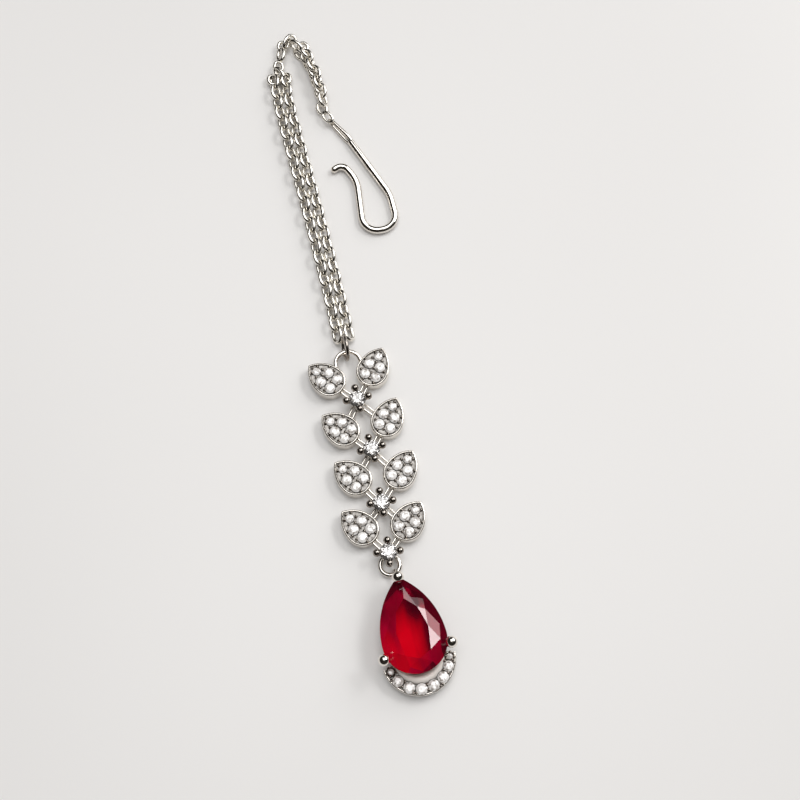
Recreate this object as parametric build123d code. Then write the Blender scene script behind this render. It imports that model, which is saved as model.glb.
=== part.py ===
from build123d import *

import os
from math import asin, atan2, cos, degrees, hypot, pi, radians, sin, sqrt, tan

# A maang tikka (hair and forehead jewel) laid flat on a surface, in millimetres. The surface
# is z = 0, +Z is up, and +Y runs from the pendant up to the chain. The written solids have
# their origin on the surface, under the middle of the whole piece.

# ---- driving dimensions -------------------------------------------------------------------

LEAF_LENGTH, LEAF_WIDTH, LEAF_HEIGHT = 7.1, 5.3, 2.0
LEAF_WALL = 0.55
RIM_WIDTH, RIM_DEPTH = 0.42, 0.3     # the paved face lies this far below the rim
PAVE_HOLLOW = 1.2                    # height of the open back under the paved plate
PAVE_HOLE_D = 0.9
PAVE_ROWS = ((2.65, 0.0), (1.03, 0.97), (-0.83, 0.93))  # along the leaf, half the pair's spacing
ARCH_R, ARCH_Z = 0.38, 1.25

ROUND_STONE_D = 2.7
ROUND_STONE_TABLE = 0.56             # share of the diameter
ROUND_STONE_Z = (1.44, 2.58, 2.66, 3.05)   # culet, girdle's two edges, table
SEAT_R, SEAT_HOLE_R = 1.3, 1.0
SEAT_Z = (1.15, 2.2)                 # underside and top of the seat cup
SEAT_FLOOR = 0.2
CLAW_R, CLAW_FOOT_Z = 0.27, 1.3
CLAW_BALL_R = 0.52
CLAW_BALL_AT = (1.8, 2.95)           # distance from the setting's middle, height

LINK_WIRE_R = 0.2
LINK_HALF_WIDTH = 0.42               # to the wire's middle
LINK_Z = 0.9
LINK_GAP = 0.13                      # between a link and the window it passes
WINDOW_Z = (0.55, PAVE_HOLLOW)
PIN_R, FOOT_R, FOOT_HEIGHT = 0.17, 0.3, 0.15
PIN_ROOT = 0.1                       # how far a pin runs into the metal over it
LEAF_PIN_AT = 1.75                   # from the middle of the leaf's round end
SETTING_PIN_AT = 1.1                 # from the setting's middle
DROP_RING_R, DROP_RING_WIRE_R, DROP_RING_Z = 1.55, 0.38, 0.6

PEAR_LENGTH, PEAR_WIDTH = 15.0, 10.0
PEAR_GIRDLE_Z = (4.3, 4.5)
PEAR_TABLE_Z, PEAR_TABLE_INSET = 5.9, 1.9
PEAR_CULET_Z, PEAR_CULET_INSET = 0.5, 4.7
# outer inset, inner inset, underside, top
PEAR_RAILS = ((1.4, 2.1, 0.0, 1.1), (0.25, 0.9, 2.7, 3.45))
POST_R, POST_Z = 0.3, (0.6, 3.1)
ROUND_END_POSTS = (-130, -90, -50, 12, 168)             # degrees round the stone's middle
ROUND_END_POST_AT = (3.3, 4.42)                         # foot and head, from the middle
TIP_POSTS = ((2.45, 4.6), (3.1, 4.95))                  # foot and head, mirrored in X
BALL_R, BALL_ARM_R = 0.92, 0.4
SIDE_BALL = (5.25, -1.8, 5.45)                          # mirrored in X
SIDE_ARM = ((3.5, -1.2, 0.6), (5.16, -1.77, 2.4), (5.22, -1.79, 5.2))
TIP_BALL = (0, 9.9, 5.75)
TIP_ARM = ((0, 8.2, 0.55), (0, 10.65, 4.5), (0, 10.2, 5.5))
DROP_ARM_FROM_Y, DROP_ARM_TO_Y, DROP_ARM_Z, DROP_ARM_R = 8.4, 11.85, 1.4, 0.22
HALO_R, HALO_HEIGHT, HALO_WALL = 5.75, 2.0, 0.5
HALO_DROP = 2.36                     # its centre lies this far below the stone's middle
HALO_TOP_Y = -1.9                    # the crescent's horns end here
HALO_HOLLOW = 0.9
HALO_GROOVE_R, HALO_GROOVE_DEPTH, HALO_GROOVE_TOP_Y = (3.95, 5.4), 0.3, -2.6

HOOK_R, EYE_R = 0.62, 0.42
EYE_WIDTH, EYE_TILT = 1.5, 60
CHAIN_R = 0.9
CHAIN_RING_R, CHAIN_RING_WIRE_R, CHAIN_RING_TURN = 2.0, 0.3, 98
END_RING_R, END_RING_WIRE_R, END_RING_GAP = 0.85, 0.25, 0.1

# ---- layout on the surface ----------------------------------------------------------------

LAYOUT_MIDDLE = (0.0, 0.35)          # of the whole piece's box, which becomes the origin

# row, side, middle of the round end, direction of the tip in degrees
LEAVES = (
    (1, "left", (-7.1, -6.9), 131),
    (1, "right", (0.05, -6.65), 56),
    (2, "left", (-6.5, -15.75), 132),
    (2, "right", (0.6, -15.65), 57),
    (3, "left", (-6.2, -24.1), 129),
    (3, "right", (0.8, -24.55), 49),
    (4, "left", (-6.75, -32.3), 127),
    (4, "right", (0.2, -32.95), 47),
)
# row, middle, turn of the four claws in degrees
SETTINGS = (
    (1, (-3.3, -11.1), 1),
    (2, (-2.75, -19.8), 4),
    (3, (-3.0, -28.8), -2),
    (4, (-3.55, -36.8), -6),
)
ARCH_ROUTE = ((-5.72, -4.8), (-3.5, -2.2), (-1.3, -4.55))
DROP_RING_AT, DROP_PIN_AT = (-3.66, -38.52), (-3.6, -37.6)
PEAR_AT, PEAR_LEAN = (-2.5, -51.2), 3.2   # the tip leans to the left
CHAIN_RING_AT = (-3.5, -1.95, 2.35)
CHAIN_ROUTE = (
    (-3.35, 0.9), (-3.42, 7.5), (-3.75, 17.5), (-4.3, 29.5), (-4.95, 41.0), (-5.2, 48.2),
    (-4.8, 52.8), (-3.9, 56.2), (-3.25, 58.5), (-1.42, 59.31), (0.35, 58.37), (0.7, 56.4),
    (0.75, 53.2), (1.45, 49.0), (1.1, 45.6), (1.35, 43.1),
)
HOOK_CORNERS = ((1.15, 31.7), (2.75, 32.45), (4.6, 28.8), (3.75, 18.65), (9.83, 18.65), (9.63, 25.0),
                (5.1, 36.3))
HOOK_RADII = (1.4, 6.5, 2.7, 2.7, 8.0)
EYE_END = (2.15, 41.6)

os.makedirs("parts", exist_ok=True)


def write(name, solid):
    x, y = LAYOUT_MIDDLE
    export_step(Pos(-x, -y, 0) * solid, f"parts/{name}.step")


# ---- shared shapes ------------------------------------------------------------------------


def pear_face(length, width, inset=0.0):
    """A pear outline moved inwards by inset: a half circle with two side arcs that meet at
    the tip. The origin is the circle's centre and the tip is on +Y."""
    base = width / 2
    tip = length - base
    side = (base**2 + tip**2) / width
    shift = side - base                      # from the origin to each side arc's centre
    base -= inset
    side -= inset
    tip = sqrt(side**2 - shift**2)
    half = asin(tip / side) / 2
    bulge = (side * cos(half) - shift, side * sin(half))
    outline = [
        ThreePointArc((-base, 0), (0, -base), (base, 0)),
        ThreePointArc((base, 0), bulge, (0, tip)),
        ThreePointArc((0, tip), (-bulge[0], bulge[1]), (-base, 0)),
    ]
    return make_face(outline)


def slab(face, low, high):
    """The face made solid between two heights."""
    return Pos(0, 0, low) * extrude(face, high - low)


def rod(start, end, radius):
    along = Vector(*end) - Vector(*start)
    return extrude(Plane(origin=start, z_dir=along) * Circle(radius), along.length)


def ball(centre, radius):
    return Pos(*centre) * Sphere(radius)


def bent_rod(points, radius):
    """Straight rods from point to point, with a ball at each joint."""
    bent = rod(points[0], points[1], radius)
    for start, end in zip(points[1:], points[2:]):
        bent += ball(start, radius) + rod(start, end, radius)
    return bent


def tube(path, radius):
    return sweep(Plane(origin=path @ 0, z_dir=path % 0) * Circle(radius), path)


def polar(centre, angle, distance):
    return (centre[0] + distance * cos(radians(angle)), centre[1] + distance * sin(radians(angle)))


def direction(start, end):
    """Angle in degrees and distance from start to end."""
    across, along = end[0] - start[0], end[1] - start[1]
    return degrees(atan2(along, across)), hypot(across, along)


def stadium(length, half_width):
    """A closed path round two half circles whose centres are length apart along X."""
    return Wire([
        Line((0, -half_width), (length, -half_width)),
        ThreePointArc((length, -half_width), (length + half_width, 0), (length, half_width)),
        Line((length, half_width), (0, half_width)),
        ThreePointArc((0, half_width), (-half_width, 0), (0, -half_width)),
    ])


def pin(centre, under):
    """A post that a link hangs on, from a foot on the surface into the metal over it."""
    foot = rod((*centre, 0), (*centre, FOOT_HEIGHT), FOOT_R)
    return foot + rod((*centre, 0), (*centre, under + PIN_ROOT), PIN_R)


# ---- leaves -------------------------------------------------------------------------------


def leaf(centre, tip_angle, link_angles):
    """A paved leaf: a wall with an open back, a plate pierced under each stone, a pin for
    each link and a window in the wall where the link passes."""
    outline = (LEAF_LENGTH, LEAF_WIDTH)
    plate_top = LEAF_HEIGHT - RIM_DEPTH
    body = slab(pear_face(*outline), 0, LEAF_HEIGHT)
    body -= slab(pear_face(*outline, LEAF_WALL), 0, PAVE_HOLLOW)
    body -= slab(pear_face(*outline, RIM_WIDTH), plate_top, LEAF_HEIGHT)
    for along, half_spacing in PAVE_ROWS:
        for side in {-half_spacing, half_spacing}:
            hole = slab(Circle(PAVE_HOLE_D / 2), PAVE_HOLLOW, plate_top)
            body -= Pos(side, along, 0) * hole
    body = Pos(*centre, 0) * Rot(0, 0, tip_angle - 90) * body
    window_width = 2 * (LINK_HALF_WIDTH + LINK_WIRE_R + LINK_GAP)
    window = Box(3 * LEAF_WALL, window_width, WINDOW_Z[1] - WINDOW_Z[0])
    for angle in link_angles:
        at = polar(centre, angle, LEAF_WIDTH / 2)
        body -= Pos(*at, sum(WINDOW_Z) / 2) * Rot(0, 0, angle) * window
        body += pin(polar(centre, angle, LEAF_PIN_AT), PAVE_HOLLOW)
    return body


def arch():
    """The wire soldered between the two top leaves."""
    path = ThreePointArc(*[(x, y, ARCH_Z) for x, y in ARCH_ROUTE])
    return tube(path, ARCH_R)


# each leaf with the setting in its own row and the one above: row, side, leaf's middle,
# setting's row, setting's middle
joined = [
    (row, side, middle, setting_row, setting_middle)
    for row, side, middle, _ in LEAVES
    for setting_row, setting_middle, _ in SETTINGS
    if setting_row in (row - 1, row)
]

top_pair = arch()
for row, side, middle, tip_angle in LEAVES:
    angles = [direction(middle, j[4])[0] for j in joined if j[:2] == (row, side)]
    solid = leaf(middle, tip_angle, angles)
    if row == 1:
        top_pair += solid
    else:
        write(f"leaf_{row}_{side}", solid)
write("leaf_pair_1", top_pair)

# ---- links between leaves and settings ----------------------------------------------------

for row, side, middle, setting_row, setting_middle in joined:
    angle, distance = direction(middle, setting_middle)
    length = distance - LEAF_PIN_AT - SETTING_PIN_AT
    link = tube(stadium(length, LINK_HALF_WIDTH), LINK_WIRE_R)
    at = polar(middle, angle, LEAF_PIN_AT)
    place = "upper" if setting_row == row else "lower"
    write(f"link_{setting_row}_{place}_{side}", Pos(*at, LINK_Z) * Rot(0, 0, angle) * link)

# ---- claw settings and their round stones -------------------------------------------------


def round_stone():
    """A brilliant's outline turned round its axis: table, crown, girdle and pavilion."""
    r = ROUND_STONE_D / 2
    table_r = ROUND_STONE_TABLE * r
    culet, girdle_low, girdle_high, table = ROUND_STONE_Z
    outline = Polyline(
        (0, table), (table_r, table), (r, girdle_high), (r, girdle_low), (0, culet), close=True
    )
    return revolve(Plane.XZ * make_face(outline), Axis.Z)


def claw_setting(row, middle, turn):
    """A seat cup with four ball claws and a pin for each link of its row."""
    cup = slab(Circle(SEAT_R), *SEAT_Z)
    cup -= slab(Circle(SEAT_HOLE_R), SEAT_Z[0] + SEAT_FLOOR, SEAT_Z[1])
    foot = (SEAT_R - CLAW_R, 0, CLAW_FOOT_Z)
    head = (CLAW_BALL_AT[0], 0, CLAW_BALL_AT[1])
    for k in range(4):
        cup += Rot(0, 0, turn + 90 * k) * (rod(foot, head, CLAW_R) + ball(head, CLAW_BALL_R))
    cup = Pos(*middle, 0) * cup
    for j in joined:
        if j[3] == row:
            angle = direction(middle, j[2])[0]
            cup += pin(polar(middle, angle, SETTING_PIN_AT), SEAT_Z[0])
    return cup


for row, middle, turn in SETTINGS:
    setting = claw_setting(row, middle, turn)
    if row == 4:
        setting += pin(DROP_PIN_AT, SEAT_Z[0])
    write(f"claw_setting_{row}", setting)
    write(f"round_stone_{row}", Pos(*middle, 0) * round_stone())

write("drop_ring", Pos(*DROP_RING_AT, DROP_RING_Z) * Torus(DROP_RING_R, DROP_RING_WIRE_R))

# ---- pear pendant -------------------------------------------------------------------------

PEAR = (PEAR_LENGTH, PEAR_WIDTH)


def pear_stone():
    girdle_low, girdle_high = PEAR_GIRDLE_Z
    girdle = slab(pear_face(*PEAR), girdle_low, girdle_high)
    crown = loft([
        Pos(0, 0, girdle_high) * pear_face(*PEAR),
        Pos(0, 0, PEAR_TABLE_Z) * pear_face(*PEAR, PEAR_TABLE_INSET),
    ])
    pavilion = loft([
        Pos(0, 0, PEAR_CULET_Z) * pear_face(*PEAR, PEAR_CULET_INSET),
        Pos(0, 0, girdle_low) * pear_face(*PEAR),
    ])
    return girdle + crown + pavilion


def below(y):
    """Everything below y in the pendant's own frame."""
    reach = 3 * PEAR_WIDTH
    return Pos(0, y - reach / 2) * Rectangle(reach, reach)


def halo():
    """A crescent cup under the round end of the stone, hollow from behind, with a groove
    for its stones."""
    centre = Pos(0, -HALO_DROP)
    stone_well = pear_face(*PEAR, 1.6)
    stone_edge = pear_face(*PEAR, 0.3)
    crescent = (centre * Circle(HALO_R)) & below(HALO_TOP_Y)
    hollow = (centre * Circle(HALO_R - HALO_WALL)) & below(HALO_TOP_Y - HALO_WALL)
    groove_in, groove_out = HALO_GROOVE_R
    groove = (centre * Circle(groove_out)) - (centre * Circle(groove_in))
    groove = (groove & below(HALO_GROOVE_TOP_Y)) - stone_edge
    cup = slab(crescent - stone_well, 0, HALO_HEIGHT)
    cup -= slab(hollow, 0, HALO_HOLLOW)
    return cup - slab(groove, HALO_HEIGHT - HALO_GROOVE_DEPTH, HALO_HEIGHT)


def drop_arm():
    """The arm that reaches up from the tip into the drop ring."""
    start = (0, DROP_ARM_FROM_Y, DROP_ARM_Z)
    corner = (0, DROP_ARM_TO_Y, DROP_ARM_Z)
    return bent_rod((start, corner, (0, DROP_ARM_TO_Y, 0)), DROP_ARM_R)


def pear_setting():
    """Two rails joined by posts, three ball claws, the halo and the arm for the drop ring."""
    basket = halo() + drop_arm()
    for outer_inset, inner_inset, low, high in PEAR_RAILS:
        rail = pear_face(*PEAR, outer_inset) - pear_face(*PEAR, inner_inset)
        basket += slab(rail, low, high)
    for angle in ROUND_END_POSTS:
        ends = [(*polar((0, 0), angle, r), z) for r, z in zip(ROUND_END_POST_AT, POST_Z)]
        basket += rod(*ends, POST_R)
    for side in (-1, 1):
        ends = [(side * x, y, z) for (x, y), z in zip(TIP_POSTS, POST_Z)]
        basket += rod(*ends, POST_R)
        basket += bent_rod([(side * x, y, z) for x, y, z in SIDE_ARM], BALL_ARM_R)
        basket += ball((side * SIDE_BALL[0], SIDE_BALL[1], SIDE_BALL[2]), BALL_R)
    return basket + bent_rod(TIP_ARM, BALL_ARM_R) + ball(TIP_BALL, BALL_R)


pear_place = Pos(*PEAR_AT, 0) * Rot(0, 0, PEAR_LEAN)
write("pear_stone", pear_place * pear_stone())
write("pear_setting", pear_place * pear_setting())

# ---- chain and its two rings --------------------------------------------------------------


def arc_radii(points, share=0.45):
    """As large an arc at each corner as its two runs allow."""
    radii = []
    for a, b, c in zip(points, points[1:], points[2:]):
        first, second = Vector(*b) - Vector(*a), Vector(*c) - Vector(*b)
        turn = radians(first.get_angle(second))
        radii.append(share * min(first.length, second.length) / tan(turn / 2))
    return radii


route = [(x, y, CHAIN_R) for x, y in CHAIN_ROUTE]
radii = arc_radii(route)
chain_path = FilletPolyline(route, radius=radii)
chain = tube(chain_path, CHAIN_R)
print("chain arc radii", [round(r, 2) for r in radii])
print("chain length", round(chain_path.length, 2), "volume over section times length",
      round(chain.volume / (pi * CHAIN_R**2 * chain_path.length), 4))
write("chain", chain)
ring = Rot(0, CHAIN_RING_TURN, 0) * Torus(CHAIN_RING_R, CHAIN_RING_WIRE_R)
write("chain_ring", Pos(*CHAIN_RING_AT) * ring)

# ---- hook ---------------------------------------------------------------------------------


def hook():
    """A bent wire with rounded ends, and an eye of thinner wire on its shank."""
    path = FilletPolyline([(x, y, HOOK_R) for x, y in HOOK_CORNERS], radius=HOOK_RADII)
    wire = tube(path, HOOK_R) + ball(path @ 0, HOOK_R) + ball(path @ 1, HOOK_R)
    shank_end = HOOK_CORNERS[-1]
    angle, length = direction(shank_end, EYE_END)
    half = EYE_WIDTH / 2
    eye = Pos(half, 0, 0) * tube(stadium(length - 2 * half, half), EYE_R)
    eye_z = EYE_R + half * sin(radians(EYE_TILT))
    return wire + Pos(*shank_end, eye_z) * Rot(0, 0, angle) * Rot(EYE_TILT, 0, 0) * eye


write("hook", hook())
eye_angle = direction(HOOK_CORNERS[-1], EYE_END)[0]
ring_at = polar(EYE_END, eye_angle, END_RING_R - END_RING_WIRE_R - EYE_R - END_RING_GAP)
ring_z = EYE_R + EYE_WIDTH / 2 * sin(radians(EYE_TILT))
write("end_ring", Pos(*ring_at, ring_z) * Torus(END_RING_R, END_RING_WIRE_R))
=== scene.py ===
from math import atan2, cos, degrees, hypot, pi, radians, sin, sqrt, tan

import bmesh
import bpy
import numpy as np
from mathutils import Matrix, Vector


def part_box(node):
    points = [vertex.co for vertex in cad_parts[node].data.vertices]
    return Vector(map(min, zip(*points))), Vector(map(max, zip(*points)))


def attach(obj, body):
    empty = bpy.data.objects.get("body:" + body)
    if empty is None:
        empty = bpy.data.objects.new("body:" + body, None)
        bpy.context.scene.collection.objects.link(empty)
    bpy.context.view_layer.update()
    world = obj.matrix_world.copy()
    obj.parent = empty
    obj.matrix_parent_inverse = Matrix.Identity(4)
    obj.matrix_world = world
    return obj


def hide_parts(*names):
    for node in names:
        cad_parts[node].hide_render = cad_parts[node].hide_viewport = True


# The looks of a maang tikka that lies flat. Shapes are worked out in millimetres in the packed
# model's frame (+Z up, +Y from the pendant to the chain's fold) and turned into metres when
# they become meshes.

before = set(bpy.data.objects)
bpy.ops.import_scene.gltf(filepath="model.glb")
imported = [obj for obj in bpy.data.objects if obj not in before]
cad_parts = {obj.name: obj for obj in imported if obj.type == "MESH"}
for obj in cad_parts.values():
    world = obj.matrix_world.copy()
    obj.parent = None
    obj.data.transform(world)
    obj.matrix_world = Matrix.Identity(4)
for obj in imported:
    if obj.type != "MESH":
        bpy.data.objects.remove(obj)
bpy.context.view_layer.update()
MM = 0.001


def middle(node):
    """Middle of a node's box, in millimetres."""
    low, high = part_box(node)
    return np.array((low + high) / 2) / MM


def box_mm(node):
    """Lowest and highest corner of a node's box, in millimetres."""
    low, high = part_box(node)
    return np.array(low) / MM, np.array(high) / MM


# ---- camera ----

VIEW_TURN = 12                    # degrees that the length leans to the left in the picture
VIEW_ELEVATION = 71.5
VIEW_DISTANCE = 208               # from the target, both in millimetres
VIEW_TARGET = (3.6, -12.25, 0)
LENS = 57


def make_camera():
    data = bpy.data.cameras.new("camera")
    data.lens = LENS
    data.clip_start = 0.001
    camera = bpy.data.objects.new("camera", data)
    bpy.context.scene.collection.objects.link(camera)
    turn, up = radians(VIEW_TURN), radians(VIEW_ELEVATION)
    back = Vector((-sin(turn) * cos(up), -cos(turn) * cos(up), sin(up)))
    camera.location = (Vector(VIEW_TARGET) + back * VIEW_DISTANCE) * MM
    camera.rotation_euler = (-back).to_track_quat("-Z", "Y").to_euler()
    bpy.context.scene.camera = camera


make_camera()

# ---- shapes ----


class Shape:
    """Points in millimetres and faces, gathered from closed forms. Each face keeps whether it
    is smooth, and its finish: which of the piece's materials it has."""

    def __init__(self):
        self.points = []
        self.faces = []
        self.smooth = []
        self.finish = []

    def add(self, form, smooth=True, finish=0):
        points, faces = form
        start = len(self.points)
        self.points.extend(np.asarray(points, float).tolist())
        self.faces.extend([[i + start for i in face] for face in faces])
        self.smooth.extend([smooth] * len(faces))
        self.finish.extend([finish] * len(faces))
        return self

    def placed(self, at, turn):
        """A copy of the whole shape, turned about Z in degrees and moved."""
        copy = Shape()
        copy.points = moved((self.points, self.faces), at, turn)[0].tolist()
        copy.faces, copy.smooth, copy.finish = self.faces, self.smooth, self.finish
        return copy

    def object(self, name, materials, slot, nodes, sharp=40):
        """The Blender object of this shape, which replaces the CAD nodes named. Smooth faces
        that meet at more than sharp degrees keep their edge."""
        mesh = bpy.data.meshes.new(name)
        mesh.from_pydata((np.array(self.points) * MM).tolist(), [], self.faces)
        mesh.polygons.foreach_set("use_smooth", self.smooth)
        if any(self.smooth):
            mesh.set_sharp_from_angle(angle=radians(sharp))
        mesh.polygons.foreach_set("material_index", self.finish)
        for material in materials:
            mesh.materials.append(material)
        piece = bpy.data.objects.new(name, mesh)
        bpy.context.scene.collection.objects.link(piece)
        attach(piece, "root")
        if nodes:
            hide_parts(*nodes)
        return piece


def moved(form, at=(0, 0, 0), turn=0.0, tilt=0.0):
    """The form tilted about X, then turned about Z, both in degrees, then moved."""
    points, faces = form
    a, b = radians(turn), radians(tilt)
    tilted = np.array([[1, 0, 0], [0, cos(b), -sin(b)], [0, sin(b), cos(b)]])
    turned = np.array([[cos(a), -sin(a), 0], [sin(a), cos(a), 0], [0, 0, 1]])
    return np.asarray(points, float) @ (turned @ tilted).T + np.array(at, float), faces


def spun(flat, turn):
    """Flat points turned about the origin, in degrees."""
    a = radians(turn)
    return flat @ np.array([[cos(a), sin(a)], [-sin(a), cos(a)]])


def at_height(flat, z):
    """Flat points, all at one height."""
    return np.column_stack([flat, np.full(len(flat), z)])


def steps_round(count):
    """Angles in even steps round a whole turn."""
    return np.arange(count) * 2 * pi / count


def unit(v):
    v = np.asarray(v, float)
    return v / np.linalg.norm(v)


def end_faces(rows, columns):
    """The two faces that fill the first and the last of a form's rings."""
    last = (rows - 1) * columns
    return [list(range(columns))[::-1], list(range(last, last + columns))]


def grid_faces(rows, columns, wrap_rows=False):
    """Quads between rows of points, each row a closed ring."""
    faces = []
    for i in range(rows if wrap_rows else rows - 1):
        for j in range(columns):
            a, b = i * columns + j, i * columns + (j + 1) % columns
            c = ((i + 1) % rows) * columns
            faces.append([a, b, c + (j + 1) % columns, c + j])
    return faces


def tube(path, radius, sides=14, closed=False, up=(0, 0, 1)):
    """A round wire along a path, with domed ends when it is open."""
    path = np.array(path, float)
    radii = np.broadcast_to(radius, len(path)).astype(float)
    if closed:
        along = np.roll(path, -1, 0) - np.roll(path, 1, 0)
    else:
        along = np.gradient(path, axis=0)
    along /= np.linalg.norm(along, axis=1)[:, None]
    side = np.cross(up, along[0])
    if np.linalg.norm(side) < 1e-6:
        side = np.cross((1, 0, 0), along[0])
    sideways = []
    for t in along:
        side = unit(side - np.dot(side, t) * t)
        sideways.append(side)
    sideways = np.array(sideways)
    if not closed:
        dome = np.radians((15, 35, 60, 80))
        extra = len(dome)
        first = [(path[0] - along[0] * radii[0] * sin(a), radii[0] * cos(a)) for a in dome[::-1]]
        last = [(path[-1] + along[-1] * radii[-1] * sin(a), radii[-1] * cos(a)) for a in dome]
        path = np.vstack([[p for p, _ in first], path, [p for p, _ in last]])
        radii = np.concatenate([[r for _, r in first], radii, [r for _, r in last]])
        along = np.vstack([[along[0]] * extra, along, [along[-1]] * extra])
        sideways = np.vstack([[sideways[0]] * extra, sideways, [sideways[-1]] * extra])
    over = np.cross(along, sideways)
    angles = steps_round(sides)
    ring = (np.cos(angles)[None, :, None] * sideways[:, None, :]
            + np.sin(angles)[None, :, None] * over[:, None, :])
    points = (path[:, None, :] + radii[:, None, None] * ring).reshape(-1, 3)
    faces = grid_faces(len(path), sides, closed)
    if not closed:
        faces += end_faces(len(path), sides)
    return points, faces


def turned_form(profile, sides=32):
    """A form turned about Z from (radius, height) points, its two ends filled."""
    rings = []
    angles = steps_round(sides)
    for r, z in profile:
        r = max(r, 1e-4)
        rings.append(np.stack([r * np.cos(angles), r * np.sin(angles), np.full(sides, z)], 1))
    return np.vstack(rings), grid_faces(len(profile), sides) + end_faces(len(profile), sides)


def ball(centre, radius, sides=24):
    steps = np.linspace(-90, 90, sides // 2 + 1)
    profile = [(radius * cos(radians(a)), radius * sin(radians(a))) for a in steps]
    return moved(turned_form(profile, sides), centre)


def ring_form(centre, radius, wire, axis=(0, 0, 1), count=48, sides=18):
    """A round ring of wire; radius is that of its middle line, and the axis isn't along Y."""
    axis = unit(axis)
    across = unit(np.cross(axis, (0, 1, 0)))
    angles = steps_round(count)[:, None]
    path = (np.array(centre, float) + radius * np.cos(angles) * across
            + radius * np.sin(angles) * np.cross(axis, across))
    return tube(path, wire, sides, True, axis)


def pear_outline(length, width, inset=0.0, count=72):
    """Points of a pear outline moved inwards by inset, from the tip round to the left. The
    origin is the middle of the round end, and the tip is on +Y."""
    base = width / 2
    tip = length - base
    side = (base**2 + tip**2) / width
    shift = side - base
    base = max(base - inset, 1e-3)
    side = shift + base
    tip_angle = np.arccos(shift / side)
    third = count // 3
    left = np.linspace(tip_angle, 0, third, endpoint=False)
    right = np.linspace(0, tip_angle, third, endpoint=False)
    bottom = np.linspace(0, pi, count - 2 * third, endpoint=False)
    return np.vstack([
        np.stack([shift - side * np.cos(left), side * np.sin(left)], 1),
        np.stack([-base * np.cos(bottom), -base * np.sin(bottom)], 1),
        np.stack([side * np.cos(right) - shift, side * np.sin(right)], 1),
    ])


def shell(outline, profile, close_ring=False):
    """A form between rings of one outline: profile gives each ring's (inset, height). It is
    a ring when close_ring is true, and otherwise its two ends are filled."""
    rings = [at_height(outline(inset), z) for inset, z in profile]
    count = len(rings[0])
    faces = grid_faces(len(rings), count, close_ring)
    if not close_ring:
        faces += end_faces(len(rings), count)
    return np.vstack(rings), faces


def smooth_route(corners, step=0.05):
    """Points along a smooth line that the corners pull, one arc of a parabola for each."""
    corners = np.array(corners, float)
    line = [corners[0]]
    for i in range(1, len(corners) - 1):
        start = corners[0] if i == 1 else (corners[i - 1] + corners[i]) / 2
        end = corners[-1] if i == len(corners) - 2 else (corners[i] + corners[i + 1]) / 2
        count = max(4, int(np.linalg.norm(end - start) / step))
        for t in np.linspace(0, 1, count + 1)[1:]:
            line.append((1 - t)**2 * start + 2 * t * (1 - t) * corners[i] + t**2 * end)
    return np.array(line)


# ---- materials ----


def nodes_of(name):
    """A new material with its node tree and its Principled shader."""
    material = bpy.data.materials.new(name)
    material.use_nodes = True
    tree = material.node_tree
    return material, tree, tree.nodes["Principled BSDF"]


def add_node(tree, kind, inputs=(), **settings):
    node = tree.nodes.new(kind)
    for key, value in settings.items():
        setattr(node, key, value)
    for key, value in inputs:
        node.inputs[key].default_value = value
    return node


def noise_on(tree, scale, detail=2.0):
    """Noise in the object's own coordinates, in metres."""
    place = add_node(tree, "ShaderNodeTexCoord")
    noise = add_node(tree, "ShaderNodeTexNoise", [("Scale", scale), ("Detail", detail)])
    tree.links.new(place.outputs["Object"], noise.inputs["Vector"])
    return noise


def colour_by(tree, shader, value, stops):
    """Base colour from a value through a ramp; stops are (position, colour)."""
    tint = add_node(tree, "ShaderNodeValToRGB")
    ramp = tint.color_ramp.elements
    ramp[0].position, ramp[0].color = stops[0][0], (*stops[0][1], 1)
    ramp[1].position, ramp[1].color = stops[-1][0], (*stops[-1][1], 1)
    for position, colour in stops[1:-1]:
        ramp.new(position).color = (*colour, 1)
    tree.links.new(value, tint.inputs["Fac"])
    tree.links.new(tint.outputs["Color"], shader.inputs["Base Color"])


def rough_by(tree, shader, value, lowest, highest):
    """Roughness from a value between 0 and 1."""
    rough = add_node(tree, "ShaderNodeMapRange", [("To Min", lowest), ("To Max", highest)])
    tree.links.new(value, rough.inputs["Value"])
    tree.links.new(rough.outputs["Result"], shader.inputs["Roughness"])


def silver(name, dark, light, haze):
    """Polished metal: nearly even colour, faint polishing marks and a range of haze."""
    material, tree, shader = nodes_of(name)
    shader.inputs["Metallic"].default_value = 1.0
    colour_by(tree, shader, noise_on(tree, 900).outputs["Fac"], ((0, dark), (1, light)))
    rough_by(tree, shader, noise_on(tree, 2500, 4.0).outputs["Fac"], *haze)
    marks = noise_on(tree, 6000, 3.0)
    bump = add_node(tree, "ShaderNodeBump", [("Strength", 0.04), ("Distance", 0.00002)])
    tree.links.new(marks.outputs["Fac"], bump.inputs["Height"])
    tree.links.new(bump.outputs["Normal"], shader.inputs["Normal"])
    return material


def dull_silver(name, scale, detail, stops, haze):
    """Metal that isn't polished: its colour and its roughness follow one cloudy noise."""
    material, tree, shader = nodes_of(name)
    shader.inputs["Metallic"].default_value = 1.0
    cloud = noise_on(tree, scale, detail).outputs["Fac"]
    colour_by(tree, shader, cloud, stops)
    rough_by(tree, shader, cloud, *haze)
    return material


def painted_shade_silver(name, dark, light):
    """Metal set down between and round the stones: duller, and darkened in colour as painted shade.
    """
    return dull_silver(name, 2200, 3.0, ((0.3, dark), (0.7, light)), (0.25, 0.45))


def gem(name, clearness, ior, roughness):
    material, tree, shader = nodes_of(name)
    shader.inputs["Transmission Weight"].default_value = clearness
    shader.inputs["IOR"].default_value = ior
    shader.inputs["Roughness"].default_value = roughness
    return material, tree, shader


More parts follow.
